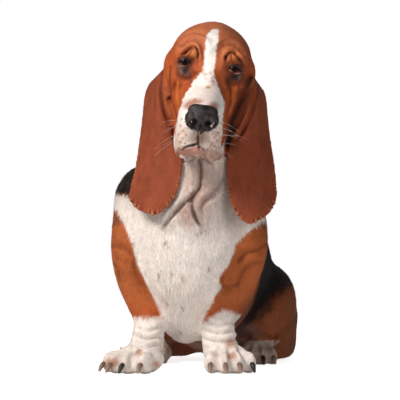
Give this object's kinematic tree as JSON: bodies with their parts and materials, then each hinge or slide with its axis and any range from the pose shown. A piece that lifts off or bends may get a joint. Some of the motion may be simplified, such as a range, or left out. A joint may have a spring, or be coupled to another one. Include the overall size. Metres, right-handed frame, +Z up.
{
  "type": "basset hound, sitting, life-size model",
  "caption": "Life-size model of a sitting basset hound with long hanging ears, heavy bent forelegs and a tail laid on the floor.",
  "frame": {"origin": "the middle of the bounding box at floor level, under the sitting hound", "axes": "+Z up; the hound faces -Y, and its left side is at +X"},
  "size_m": [0.3412, 0.6912, 0.5698],
  "materials": {
    "tan_coat": "short, close fur",
    "white_coat": "short, close fur",
    "black_coat": "short, close fur",
    "ear_coat": "very short, velvety fur",
    "nose_leather": "damp, pebbled skin",
    "eye": "wet and shiny",
    "claw": "smooth horn"
  },
  "bodies": {
    "root": {"chest": "white_coat", "claw_forepaw_left_1": "claw", "claw_forepaw_left_2": "claw", "claw_forepaw_left_3": "claw", "claw_forepaw_left_4": "claw", "claw_forepaw_right_1": "claw", "claw_forepaw_right_2": "claw", "claw_forepaw_right_3": "claw", "claw_forepaw_right_4": "claw", "claw_hindpaw_left_1": "claw", "claw_hindpaw_left_2": "claw", "claw_hindpaw_left_3": "claw", "claw_hindpaw_left_4": "claw", "claw_hindpaw_right_1": "claw", "claw_hindpaw_right_2": "claw", "claw_hindpaw_right_3": "claw", "claw_hindpaw_right_4": "claw", "ear_left": "ear_coat", "ear_right": "ear_coat", "eye_left": "eye", "eye_right": "eye", "foreleg_left": "tan_coat", "foreleg_right": "tan_coat", "forepaw_left": "white_coat", "forepaw_right": "white_coat", "head": "tan_coat", "hindleg_left": "tan_coat", "hindleg_right": "tan_coat", "hindpaw_left": "white_coat", "hindpaw_right": "white_coat", "loin": "black_coat", "neck": "white_coat", "nose": "nose_leather", "tail": "black_coat"}
  },
  "joints": []
}
